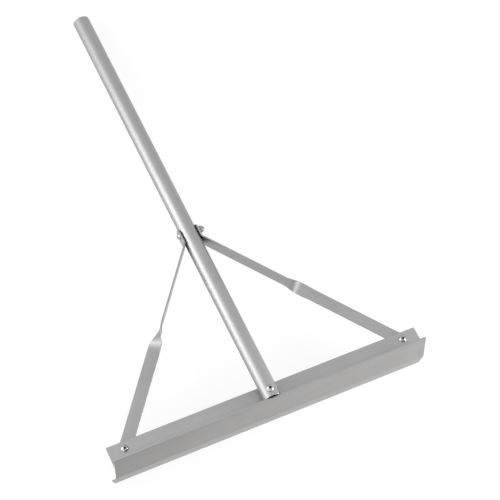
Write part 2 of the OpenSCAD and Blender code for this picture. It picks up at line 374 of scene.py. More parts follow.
@dataclass(frozen=True)
class PlatedSteel(Finish):
    """Bright plated steel, with turning marks about its axis.

    Its edges are lighter from use, and its socket and a nut's flats take a near-black colour that is painted
    shade.
    Fields are named as for the satin metal.
    """

    level: float = 0.42
    roughness: float = 0.19
    dark: float = 0.82
    light: float = 1.14
    edge_tone: float = 1.3
    painted_shade: Colour = (0.05, 0.048, 0.045, 1.0)
    rings_in_metre: float = 3200.0
    ring_detail: float = 2.0
    cloud: Mottle = Mottle(5.0, 5.0, 3.0)
    pits: Mottle = Mottle(0.5, 0.5, 1.0, 4.4)
    pit_edge: Span = (0.62, 0.72)
    edge_patches: Patchy = Patchy(0.4, 1.0)
    painted_shade_patches: Patchy = Patchy(0.7, 0.5)
    cloud_tone: float = 1.4
    ring_tone: float = 0.5
    pit_tone: float = 0.3
    edge_mark_tone: float = 0.6
    cloud_rough: float = 0.14
    ring_rough: float = 0.08
    pit_rough: float = 0.12
    rub_smooth: float = 0.06
    painted_shade_rough: float = 0.4
    ring_height: float = 0.5
    relief: float = 0.01

    def surface(self, graph: Graph) -> Signal:
        """The plated metal's shader.

        Args:
            graph: The material's nodes.

        Returns:
            The shader's output.
        """
        stock = graph.stock()
        across = {0: stock, 1: (1.0, 1.0, 0.0)}
        flat = graph.make("ShaderNodeVectorMath", {"operation": "MULTIPLY"}, across, "Vector")
        radius = graph.make("ShaderNodeVectorMath", {"operation": "LENGTH"}, {0: flat}, "Value")
        turned = {"W": radius * self.rings_in_metre, "Scale": 1.0, "Detail": self.ring_detail}
        rings = graph.make("ShaderNodeTexNoise", {"noise_dimensions": "1D"}, turned, "Fac")
        cloud = graph.noise(stock, self.cloud)
        pits = graph.noise(stock, self.pits).step(*self.pit_edge)
        edge_mark, painted_shade = graph.wear_and_shade()
        edge_mark = edge_mark * self.edge_patches.share(cloud)
        dark, light, bright = (grey(self.level * tone) for tone in (self.dark, self.light, self.edge_tone))
        tone = EVEN + cloud.swing(self.cloud_tone) + rings.swing(self.ring_tone) - pits * self.pit_tone
        skin = graph.mix(tone, dark, light)
        skin = graph.mix(edge_mark * self.edge_mark_tone, skin, bright)
        # Painted shade: a near-black colour in the socket, and a lighter share of it on a nut's flats.
        skin = graph.mix(painted_shade * self.painted_shade_patches.share(cloud), skin, self.painted_shade)
        rough = self.roughness + cloud.swing(self.cloud_rough) + rings.swing(self.ring_rough)
        rough = rough + pits * self.pit_rough - edge_mark * self.rub_smooth + painted_shade * self.painted_shade_rough
        height = rings * self.ring_height + cloud * (1 - self.ring_height)
        return graph.shader(skin, rough, graph.bump(height, self.relief), 1.0)


@dataclass(frozen=True)
class Nylon(Finish):
    """Natural nylon, off-white and slightly waxy, with a moulded skin."""

    pale: Colour = (0.74, 0.74, 0.69, 1.0)
    dull: Colour = (0.62, 0.62, 0.56, 1.0)
    roughness: float = 0.46
    cloud: Mottle = Mottle(3.0, 3.0, 3.0)
    grit: Mottle = Mottle(0.3, 0.3, 1.0, 6.2)
    cloud_edge: Span = (0.3, 0.7)
    cloud_rough: float = 0.12
    relief: float = 0.02

    def surface(self, graph: Graph) -> Signal:
        """The nylon's shader.

        Args:
            graph: The material's nodes.

        Returns:
            The shader's output.
        """
        stock = graph.stock()
        cloud, grit = (graph.noise(stock, mottle) for mottle in (self.cloud, self.grit))
        skin = graph.mix(cloud.step(*self.cloud_edge), self.dull, self.pale)
        rough = self.roughness + cloud.swing(self.cloud_rough)
        return graph.shader(skin, rough, graph.bump(grit, self.relief), 0.0)


@dataclass(frozen=True)
class PaleFloor(Finish):
    """A white sweep of paper: as bright as the backdrop to the eye, and still holding the rake's shadow.

    Seen in metal, its front carries a painted reflection: a little warmer, with painted shade that darkens it
    towards the left.
    """

    glow: float = 0.85
    paper: float = 0.90
    unevenness: float = 0.01
    fibre: Mottle = Mottle(4.0, 4.0, 3.0)
    lit: float = 1.0
    mirrored_glow: float = 0.95
    shaded: float = 0.34
    warmth: float = 0.05
    shade_x: Span = (-0.60, 0.20)
    shade_y: Span = (-0.70, -0.50)

    def surface(self, graph: Graph) -> Signal:
        """The paper's shader.

        Args:
            graph: The material's nodes.

        Returns:
            The shader's output.
        """
        place = graph.make("ShaderNodeTexCoord", {}, {}, "Object")
        dull, pale = (grey(self.paper * (1 + way * self.unevenness)) for way in (-1, 1))
        sheet = graph.mix(graph.noise(place, self.fibre), dull, pale)
        matt = graph.make("ShaderNodeBsdfDiffuse", {}, {"Color": sheet}, "BSDF")
        axes = graph.node("ShaderNodeSeparateXYZ", {}, {"Vector": place})
        right = Signal(graph, axes.outputs["X"]).step(*self.shade_x)
        behind = Signal(graph, axes.outputs["Y"]).step(*self.shade_y)
        camera, mirror = graph.rays()
        # Painted reflection: rays from metal see the floor's front warmer, and darkened towards the left by a
        # painted shade.
        front = graph.mix(right, grey(self.shaded, self.warmth), grey(self.lit, self.warmth))
        tone = graph.mix(mirror * (1.0 - behind), grey(self.lit), front)
        white = graph.make("ShaderNodeEmission", {}, {"Color": tone, "Strength": 1.0}, "Emission")
        share = camera * self.glow + mirror * self.mirrored_glow
        return graph.make("ShaderNodeMixShader", {}, {0: share, 1: matt, 2: white}, "Shader")


# Mesh tools


class Carve(Enum):
    """What a tool does to the mesh it meets."""

    AWAY = "DIFFERENCE"
    TO = "INTERSECT"


def loop(things: Sequence[Any]) -> Iterable[tuple[Any, Any]]:
    """Each thing with the next, and the last with the first."""
    return zip(things, [*things[1:], things[0]])


def winding(points: Sequence[Vector]) -> float:
    """Twice the area inside a loop of points, negative where they run clockwise."""
    return sum(a.cross(b) for a, b in loop(points))


def turns(count: int) -> list[float]:
    """Angles that share out one full turn."""
    return [math.tau * k / count for k in range(count)]


@dataclass
class Outline:
    """A closed outline in a plane, with the stretches that lie on a rounded outer edge marked."""

    points: list[Vector]
    worn_and_shaded: list[bool]

    @classmethod
    def rounded(cls, corners: Sequence[tuple[Point, float]]) -> "Outline":
        """Rounds the corners of a polygon.

        Args:
            corners: Each corner and its radius.

        Returns:
            The outline, in the polygon's order.
        """
        spots = [Vector(corner) for corner, _ in corners]
        way = 1 if winding(spots) > 0 else -1
        points, worn_and_shaded = [], []
        for i, (spot, (_, radius)) in enumerate(zip(spots, corners)):
            back = (spots[i - 1] - spot).normalized()
            ahead = (spots[(i + 1) % len(spots)] - spot).normalized()
            half = back.angle(ahead) / 2
            centre = spot + (back + ahead).normalized() * radius / math.sin(half)
            start = spot + back * radius / math.tan(half) - centre
            turn = (math.pi - 2 * half) * (1 if back.cross(ahead) < 0 else -1)
            steps = max(ARC_LEAST, math.ceil(abs(turn) / ARC_STEP))
            for k in range(steps + 1):
                points.append(centre + Matrix.Rotation(turn * k / steps, 2) @ start)
                worn_and_shaded.append(k < steps and turn * way > 0)
        return cls(points, worn_and_shaded)

    def inset(self, distance: float) -> list[Vector]:
        """The outline moved inwards.

        Args:
            distance: How far.

        Returns:
            The moved points, in the same order.
        """
        ring = self.points
        inward = Matrix.Rotation(math.copysign(QUARTER, winding(ring)), 2)
        moved = []
        for i, point in enumerate(ring):
            first = inward @ (point - ring[i - 1]).normalized()
            second = inward @ (ring[(i + 1) % len(ring)] - point).normalized()
            moved.append(point + (first + second) * distance / (1 + first.dot(second)))
        return moved


class Shell:
    """A closed skin in millimetres, grown from rings of points."""

    def __init__(self) -> None:
        """Starts with nothing."""
        self.points: list[Vector] = []
        self.faces: list[list[int]] = []
        self.worn_and_shaded: list[float] = []

    def ring(self, points: Iterable[Sequence[float]]) -> list[int]:
        """Adds a ring of points.

        Args:
            points: The points in order.

        Returns:
            Their places in the skin.
        """
        start = len(self.points)
        self.points.extend(Vector(p) for p in points)
        return list(range(start, len(self.points)))

    def hoop(self, radius: float, height: float, sides: int) -> list[int]:
        """Adds a round ring about z at a height, or a pole where its radius is 0."""
        angles = turns(sides if radius else 1)
        return self.ring((radius * math.cos(a), radius * math.sin(a), height) for a in angles)

    def face(self, corners: Iterable[int], worn_and_shaded: bool = False) -> None:
        """Adds a face, marked if it lies on a rounded edge. A corner given twice counts once."""
        self.faces.append(list(dict.fromkeys(corners)))
        self.worn_and_shaded.append(float(worn_and_shaded))

    def bridge(self, first: Sequence[int], second: Sequence[int], worn_and_shaded: Sequence[bool] = ()) -> None:
        """Joins two rings with a band of faces. A ring of one point is a pole.

        Args:
            first: A ring.
            second: The next.
            worn_and_shaded: Marks of the band's faces, all clear if left out.
        """
        count = max(len(first), len(second))
        for i in range(count):
            j = (i + 1) % count
            corners = ((first, i), (first, j), (second, j), (second, i))
            self.face((ring[k % len(ring)] for ring, k in corners), bool(worn_and_shaded) and worn_and_shaded[i])

    def mesh(self, name: str) -> Mesh:
        """Makes the mesh, with its faces turned outwards.

        Args:
            name: The mesh's name.

        Returns:
            The mesh, in millimetres.
        """
        mesh = bpy.data.meshes.new(name)
        mesh.from_pydata(self.points, [], self.faces)
        mesh.attributes.new(WEAR_AND_SHADE, "FLOAT", "FACE").data.foreach_set("value", self.worn_and_shaded)
        skin = bmesh.new()
        skin.from_mesh(mesh)
        bmesh.ops.recalc_face_normals(skin, faces=skin.faces)
        skin.to_mesh(mesh)
        skin.free()
        return mesh


def lathe(profile: Outline | Sequence[Point], sides: int) -> Shell:
    """Turns a profile about z.

    Args:
        profile: Points as (radius, height): a closed outline, or a line that starts and ends on the axis.
        sides: Faces in one turn.

    Returns:
        The turned skin.
    """
    closed = isinstance(profile, Outline)
    shell = Shell()
    rings = [shell.hoop(radius, z, sides) for radius, z in (profile.points if closed else profile)]
    for i, (first, second) in enumerate(loop(rings) if closed else pairwise(rings)):
        shell.bridge(first, second, [profile.worn_and_shaded[i]] * sides if closed else ())
    return shell


def prism(outline: Sequence[Vector], low: float, high: float) -> Shell:
    """A straight prism along z.

    Args:
        outline: Its section.
        low: Height of one end.
        high: Height of the other.

    Returns:
        The prism.
    """
    shell = Shell()
    ends = [shell.ring([(p.x, p.y, z) for p in outline]) for z in (low, high)]
    shell.bridge(*ends)
    for end in ends:
        shell.face(end)
    return shell


def hexagon(width: float, radius: float) -> Outline:
    """A six-sided outline of a width across its flats, with corners rounded by a radius."""
    reach = width / 2 / math.cos(math.pi / HEX)
    return Outline.rounded([((reach * math.cos(a), reach * math.sin(a)), radius) for a in turns(HEX)])


def carve(mesh: Mesh, tool: Shell, how: Carve, place: Matrix = UNMOVED) -> Mesh:
    """Cuts a mesh with a tool.

    Args:
        mesh: The mesh, which the result takes the place of.
        tool: The cutting shape.
        how: What the tool does.
        place: Where the tool is.

    Returns:
        The cut mesh.
    """
    blank = bpy.data.objects.new("blank", mesh)
    cutter = bpy.data.objects.new("cutter", tool.mesh("cutter"))
    cutter.matrix_world = place
    for thing in (blank, cutter):
        bpy.context.scene.collection.objects.link(thing)
    cut = blank.modifiers.new("carve", "BOOLEAN")
    cut.operation = how.value
    cut.solver = "EXACT"
    cut.object = cutter
    graph = bpy.context.evaluated_depsgraph_get()
    made = bpy.data.meshes.new_from_object(blank.evaluated_get(graph), depsgraph=graph)
    for thing in (blank, cutter):
        bpy.data.objects.remove(thing)
    return made


def drill(mesh: Mesh, radius: float, reach: float, place: Matrix) -> Mesh:
    """Drills a round hole along a place's z axis, reaching as far to each side of it."""
    bit = lathe([(0, -reach), (radius, -reach), (radius, reach), (0, reach)], DRILL_SIDES)
    return carve(mesh, bit, Carve.AWAY, place)


# The rake


@dataclass(frozen=True)
class Placement:
    """How the rake lies on its back.

    It is tilted about x, then moved so that the middle of its footprint is the origin.
    """

    tilt: float = math.radians(5.55253)
    middle: float = 435.418
    ground: float = -89.5713

    def matrix(self) -> Matrix:
        """From the rake's own axes, in millimetres, to the frame, in metres."""
        move = Matrix.Translation((0, -self.middle, -self.ground))
        return Matrix.Scale(MM, 4) @ move @ Matrix.Rotation(-self.tilt, 4, "X")


@dataclass
class Workshop:
    """Fits finished meshes into the frame in place of their CAD nodes."""

    placement: Placement
    materials: dict[Finish, bpy.types.Material] = field(default_factory=dict)

    def fit(
        self,
        mesh: Mesh,
        name: str,
        node: str,
        slot: str,
        finish: Finish,
        place: Matrix = UNMOVED,
        form: Callable[[Vector], Vector] | None = None,
    ) -> None:
        """Places one piece.

        Args:
            mesh: The piece as it is cut from its stock, in millimetres.
            name: The piece's name.
            node: The CAD node that it stands for.
            slot: The record's material slot; not used.
            finish: Its surface.
            place: Where it goes in the rake's own axes.
            form: Bends the cut stock to the piece's shape, if it is bent.
        """
        stock = mesh.attributes.new(STOCK, "FLOAT_VECTOR", "POINT")
        for point, spot in zip(mesh.vertices, stock.data):
            spot.vector = point.co * MM
            if form:
                point.co = form(point.co)
        mesh.transform(self.placement.matrix() @ place)
        mesh.shade_smooth()
        mesh.set_sharp_from_angle(angle=SHARP)
        if finish not in self.materials:
            self.materials[finish] = finish.material()
        mesh.materials.clear()
        mesh.materials.append(self.materials[finish])
        piece = bpy.data.objects.new(name, mesh)
        bpy.context.scene.collection.objects.link(piece)
        flats = piece.modifiers.new("even_flats", "WEIGHTED_NORMAL")
        flats.keep_sharp = True
        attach(piece, BODY)
        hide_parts(node)
        LOG.info("%s: %d faces for %s", name, len(mesh.polygons), node)


@dataclass(frozen=True)
class Blade:
    """The levelling blade: one extruded length.

    It has a rib, a front flat, a middle flat and a turned-up rear flat, whose tip is rounded by a share of
    half its wall.
    """

    length: float = 650.0
    wall: float = 3.5
    front_flat: float = 59.0
    front_slope: float = math.radians(9)
    middle_flat: float = 41.3
    middle_slope: float = math.radians(10.3)
    rear_flat: float = 24.0
    rear_slope: float = math.radians(31)
    front_reach: float = 30.0
    rib_height: float = 44.0
    rib_wall: float = 3.5
    root_fillet: float = 3.0
    rib_edge: float = 0.6
    crease_edge: float = 0.5
    front_edge: float = 0.45
    rear_rounding: float = 0.98
    cut_edge: float = 0.35
    hole_radius: float = 4.3
    # The blade's rounded edges take a darker tone: painted shade.
    finish: Finish = SatinAluminium("blade_satin", Grain.X, edge_tone=-0.35)

    def outline(self) -> Outline:
        """The section, as (forward, up) points.

        Returns:
            The outline, round the front edge, over the rib, round the rear edge and back below.
        """
        half = self.wall / 2
        fall = math.tan(self.front_slope)
        slopes = (-self.front_slope, self.middle_slope, self.rear_slope)
        front_way, middle_way, rear_way = (Vector((-math.cos(a), math.sin(a))) for a in slopes)
        front_up, middle_up, rear_up = (Vector((way.y, -way.x)) for way in (front_way, middle_way, rear_way))
        start = self.front_reach - half
        front = Vector((start, start * fall - self.rib_height - half / math.cos(self.front_slope)))
        crease = front + self.front_flat * front_way
        turn = crease + self.middle_flat * middle_way
        rear = turn + self.rear_flat * rear_way
        crease_mitre = half * (front_up + middle_up) / (1 + front_up.dot(middle_up))
        turn_mitre = half * (middle_up + rear_up) / (1 + middle_up.dot(rear_up))
        front_tip, rear_tip = front - half * front_way, rear + half * rear_way
        rear_edge = half * self.rear_rounding
        back_root = (-self.rib_wall, -self.rib_height - self.rib_wall * fall)
        return Outline.rounded([
            (front_tip - half * front_up, self.front_edge),
            (front_tip + half * front_up, self.front_edge),
            ((0.0, -self.rib_height), self.root_fillet),
            ((0.0, 0.0), self.rib_edge),
            ((-self.rib_wall, 0.0), self.rib_edge),
            (back_root, self.root_fillet),
            (crease + crease_mitre, self.crease_edge),
            (turn + turn_mitre, self.crease_edge),
            (rear_tip + half * rear_up, rear_edge),
            (rear_tip - half * rear_up, rear_edge),
            (turn - turn_mitre, self.crease_edge),
            (crease - crease_mitre, self.crease_edge),
        ])

    def build(self, workshop: Workshop, holes: Sequence[Point]) -> None:
        """Extrudes, trims and drills the blade.

        Args:
            workshop: Where the piece is fitted.
            holes: Places of the bolt holes along the blade and up the rib.
        """
        outline, shell = self.outline(), Shell()
        end, cut = self.length / 2, self.cut_edge
        left = [(-end, cut), (-end + EASE * cut, EASE * cut), (-end + cut, 0.0)]
        stations = left + [(-x, inset) for x, inset in reversed(left)]
        rings = [shell.ring([(x, p.y, p.x) for p in outline.inset(inset)]) for x, inset in stations]
        for i, (first, second) in enumerate(pairwise(rings)):
            trimmed = i != len(left) - 1
            shell.bridge(first, second, [True] * len(first) if trimmed else outline.worn_and_shaded)
        shell.face(rings[0])
        shell.face(rings[-1])
        mesh = shell.mesh("blade")
        for x, y in holes:
            place = Matrix.Translation((x, y, -self.rib_wall / 2))
            mesh = drill(mesh, self.hole_radius, DRILL_REACH * self.rib_wall, place)
        workshop.fit(mesh, "LevellingBlade", "blade", "blade_aluminium", self.finish)


@dataclass(frozen=True)
class Handle:
    """The drawn tube handle, with its cut ends eased, its bore painted near-black as shade and its bolt holes
    drilled.
    """

    diameter: float = 35.0
    wall: float = 2.0
    length: float = 965.0
    foot: float = -38.2485
    foot_bolt: float = -23.0
    seat_gap: float = 0.1
    outer_edge: float = 0.6
    inner_edge: float = 0.35
    bore_slack: float = 0.01
    hole_radius: float = 4.3
    sides: int = 144
    finish: Finish = SatinAluminium("tube_satin", Grain.Z, 0.343)

    @property
    def axis(self) -> float:
        """Distance of the tube's axis ahead of the rib."""
        return self.diameter / 2 + self.seat_gap

    def build(self, workshop: Workshop, cross_bolt: float) -> None:
        """Turns and drills the tube.

        Args:
            workshop: Where the piece is fitted.
            cross_bolt: Height of the cross bolt above the rib's top edge.
        """
        outer, inner = self.diameter / 2, self.diameter / 2 - self.wall
        top = self.foot + self.length
        profile = Outline.rounded([
            ((outer, self.foot), self.outer_edge),
            ((outer, top), self.outer_edge),
            ((inner, top), self.inner_edge),
            ((inner, self.foot), self.inner_edge),
        ])
        tube = lathe(profile, self.sides)
        # The bore is marked for painted shade, which colours it near-black.
        bore = [(a.x + b.x) / 2 < inner + self.bore_slack for a, b in loop(profile.points)]
        tube.worn_and_shaded = [-1.0 if bore[k // self.sides] else worn_and_shaded for k, worn_and_shaded in enumerate(tube.worn_and_shaded)]
        mesh = tube.mesh("tube")
        for height, axis in ((self.foot_bolt, "X"), (cross_bolt, "Y")):
            place = Matrix.Translation((0, 0, height)) @ Matrix.Rotation(QUARTER, 4, axis)
            mesh = drill(mesh, self.hole_radius, self.diameter, place)
        upright = Matrix.Translation((0, 0, self.axis)) @ Matrix.Rotation(-QUARTER, 4, "X")
        workshop.fit(mesh, "HandleTube", "handle_tube", "tube_aluminium", self.finish, upright)


class Side(Enum):
    """The two braces, as seen from the front."""

    LEFT = -1
    RIGHT = 1


@dataclass(frozen=True)
class BarLine:
    """The middle line of a brace, and the runs along it at which it changes."""

    foot: Vector
    lean: Vector
    flat_way: Vector
    way: Vector
    across: Vector
    inward: Vector
    turn: float
    bend_start: Vector
    bend_end: Vector
    lean_at: float
    bend_at: float
    tab_from: float
    tab_at: float


@dataclass(frozen=True)
class Brace:
    """A flat bar that lies behind the rib, leans forward, twists and bends onto the handle.

    The twist falls a little short of a quarter turn, and the bend makes up the rest. The field rows counts
    the rows of points in the foot, below the twist, in it, above it, in the bend and in the tab.
    """

    side: Side
    twist_turn: float
    twist_middle: float
    twist_length: float
    width: float = 25.0
    wall: float = 3.0
    foot_x: float = 293.0
    bolt_drop: float = 15.0
    rib_wall: float = 3.5
    foot_rise: float = 6.0
    bend_height: float = 333.0
    bend_radius: float = 9.0
    tab_rise: float = 23.0
    tube_axis: float = 17.6
    edge: float = 0.45
    hole_radius: float = 4.3
    rows: tuple[int, ...] = (2, 10, 40, 10, 14, 2)
    end_steps: int = 18
    ease_steps: int = 3
    # The braces' rounded edges take a darker tone: painted shade.
    finish: Finish = SatinAluminium("bar_satin", Grain.Y, 0.360, roughness=0.36, edge_tone=-0.20)

    @cached_property
    def line(self) -> BarLine:
        """The bar's line, which the fields settle once and for all.

        Returns:
            The line, from the foot bolt up.
        """
        side = self.side.value
        foot = Vector((side * self.foot_x, -self.bolt_drop, -self.rib_wall - self.wall / 2))
        bend = Vector((side * (self.tube_axis + self.wall / 2), self.bend_height, self.tube_axis))
        flat_way = Vector((bend.x - foot.x, bend.y - foot.y, 0)).normalized()
        lean_at = (self.bolt_drop + self.foot_rise) / flat_way.y
        lean = foot + flat_way * lean_at
        way = (bend - lean).normalized()
        turn = math.acos(way.y)
        trim = self.bend_radius * math.tan(turn / 2)
        bend_at = lean_at + (bend - lean).length - trim
        tab_from = bend_at + self.bend_radius * turn
        across = Vector((flat_way.y, -flat_way.x, 0))
        inward = (Vector((0, 1, 0)) - way.y * way).normalized()
        ends = bend - way * trim, bend + Vector((0, trim, 0))
        runs = lean_at, bend_at, tab_from, tab_from + self.tab_rise - trim
        return BarLine(foot, lean, flat_way, way, across, inward, turn, *ends, *runs)

    def station(self, run: float) -> tuple[Vector, Vector, Vector]:
        """The bar's middle, its width's direction and its thickness's direction at a place along it.

        Args:
            run: Distance along the bar from its foot bolt.

        Returns:
            The three vectors.
        """
        line = self.line
        way, across = line.way, line.across
        if run <= line.lean_at:
            way = line.flat_way
            middle = line.foot + way * run
        elif run <= line.bend_at:
            middle = line.lean + way * (run - line.lean_at)
            share = (run - self.twist_middle) / self.twist_length + 1 / 2
            across = self.twisted(min(1.0, max(0.0, share)))
        else:
            angle = min(line.turn, (run - line.bend_at) / self.bend_radius)
            if run < line.tab_from:
                arc = way * math.sin(angle) + line.inward * (1 - math.cos(angle))
                middle = line.bend_start + self.bend_radius * arc
            else:
                middle = line.bend_end + Vector((0, run - line.tab_from, 0))
            way = way * math.cos(angle) + line.inward * math.sin(angle)
            forward = (Vector((0, 0, 1)) - way.z * way).normalized()
            between = self.twisted(1.0).lerp(forward, angle / line.turn)
            across = (between - between.dot(way) * way).normalized()
        return middle, across, across.cross(way)

    def twisted(self, share: float) -> Vector:
        """Direction of the bar's width in the twist, which starts and ends smoothly.

        Args:
            share: How much of the twist's length lies below.

        Returns:
            The direction.
        """
        across, way = self.line.across, self.line.way
        angle = self.twist_turn * share * share * (3 - 2 * share)
        return across * math.cos(angle) + across.cross(way) * math.sin(angle)

    def form(self, point: Vector) -> Vector:
        """Takes a point across, along and through the flat bar to its place on the bent one."""
        middle, across, through = self.station(point.y)
        return middle + across * point.x + through * point.z

    def runs(self) -> list[float]:
        """Places along the bar between its rounded ends at which the mesh has a row of points.

        Returns:
            The distances from the foot bolt.
        """
        line, reach = self.line, self.twist_length / 2
        low, high = self.twist_middle - reach, self.twist_middle + reach
        stops = (0.0, line.lean_at, low, high, line.bend_at, line.tab_from, line.tab_at)
        spans = zip(pairwise(stops), self.rows)
        runs = [start + (stop - start) * k / rows for (start, stop), rows in spans for k in range(rows)]
        return runs + [line.tab_at]

    def flat(self) -> Shell:
        """The bar before it is bent, with rounded ends and eased edges.

        Returns:
            The flat bar.
        """
        shell = Shell()
        foot_arc = [QUARTER * (1 - k / self.end_steps) for k in range(1, self.end_steps)]
        tab_at, runs = self.line.tab_at, self.runs()

        def ring(inset: float, through: float) -> list[int]:
            """One outline of the bar: the foot's tip, up one edge, the tab's tip and down the other.

            Args:
                inset: How far it lies inside the bar's full outline.
                through: Its place in the bar's thickness.

            Returns:
                The ring.
            """
            half = self.width / 2 - inset
            ladder = [(half * math.cos(a), -half * math.sin(a)) for a in foot_arc]
            ladder += [(half, run) for run in runs]
            ladder += [(half * math.cos(a), tab_at + half * math.sin(a)) for a in reversed(foot_arc)]
            around = [(0.0, -half)] + ladder + [(0.0, tab_at + half)] + [(-x, y) for x, y in reversed(ladder)]
            return shell.ring((x, y, through) for x, y in around)

        eases = [QUARTER * k / self.ease_steps for k in range(self.ease_steps + 1)]
        flank = self.wall / 2 - self.edge
        lower = [(self.edge * (1 - math.sin(a)), -flank - self.edge * math.cos(a)) for a in eases]
        rings = [ring(inset, z) for inset, z in lower + [(inset, -z) for inset, z in reversed(lower)]]
        for i, (first, second) in enumerate(pairwise(rings)):
            shell.bridge(first, second, [i != self.ease_steps] * len(first))
        for face in (rings[0], rings[-1]):
            half = len(face) // 2
            right, left = face[: half + 1], [face[0]] + face[: half - 1 : -1]
            for (a, b), (d, c) in zip(pairwise(right), pairwise(left)):
                shell.face((a, b, c, d))
        return shell

    def build(self, workshop: Workshop) -> None:
        """Cuts, drills and bends the bar.

        Args:
            workshop: Where the piece is fitted.
        """
        side = self.side.name.lower()
        mesh = self.flat().mesh(f"{side}_bar")
        for run in (0.0, self.line.tab_at):
            mesh = drill(mesh, self.hole_radius, DRILL_REACH * self.wall, Matrix.Translation((0, run, 0)))
        name = f"{side.capitalize()}Brace"
        workshop.fit(mesh, name, f"{side}_brace", "brace_aluminium", self.finish, form=self.form)


@dataclass(frozen=True)
class FastenerSizes:
    """Sizes that all the bolts, washers and lock nuts share.

    The edges of washers and inserts are radii: outside low and high, then inside high and low. The lip is
    the rolled end of a nut's collar, as points in from its side and up from its end.
    """

    bolt_radius: float = 4.0
    pitch: float = 1.25
    thread_depth: float = 0.66
    thread_length: float = 13.0
    thread_crest: float = 0.12
    thread_rows: int = 10
    head_radius: float = 7.0
    head_height: float = 4.4
    head_rim: float = 0.8
    dome_rows: int = 12
    rim_edge: float = 0.18
    rim_draw: float = 0.045
    rim_rise: float = 0.06
    neck_flare: float = 0.15
    neck_drop: float = 0.2
    bolt_sides: int = 64
    socket_width: float = 5.0
    socket_depth: float = 2.6
    socket_corner: float = 0.12
    flare_radius: float = 3.5
    flare_depth: float = 1.6
    flare_rise: float = 0.25
    washer_radius: float = 8.0
    washer_wall: float = 1.6
    washer_edges: tuple[float, ...] = (0.3, 0.2, 0.12, 0.12)
    hole_radius: float = 4.3
    ring_sides: int = 72
    nut_width: float = 13.0
    nut_height: float = 6.5
    nut_corner: float = 0.5
    nut_sides: int = 96
    bevel_spread: float = 1.5
    bevel_in: float = 0.1
    bevel_out: float = 0.05
    # How much painted shade a nut's flats take.
    painted_flat_shade: float = 0.45
    mouth: float = 0.5
    mouth_over: float = 0.1
    collar_radius: float = 5.9
    collar_height: float = 2.0
    collar_fillet: float = 0.25
    lip: tuple[Point, ...] = ((0.4, 0.0), (0.125, 0.0625), (0.0, 0.4))
    insert_radius: float = 5.2
    insert_height: float = 1.6
    insert_edges: tuple[float, ...] = (0.25, 0.1, 0.1, 0.35)
    tip_length: float = 2.0
    tip_chamfer: float = 0.8
    gap: float = 0.1

    @property
    def nut_total(self) -> float:
        """Height of a nut with its collar."""
        return self.nut_height + self.collar_height

    def ring(self, low: float, high: float, outer: float, inner: float, edges: Sequence[float]) -> Shell:
        """A turned ring between two heights and two radii, with eased edges."""
        corners = ((outer, low), (outer, high), (inner, high), (inner, low))
        return lathe(Outline.rounded(list(zip(corners, edges))), self.ring_sides)


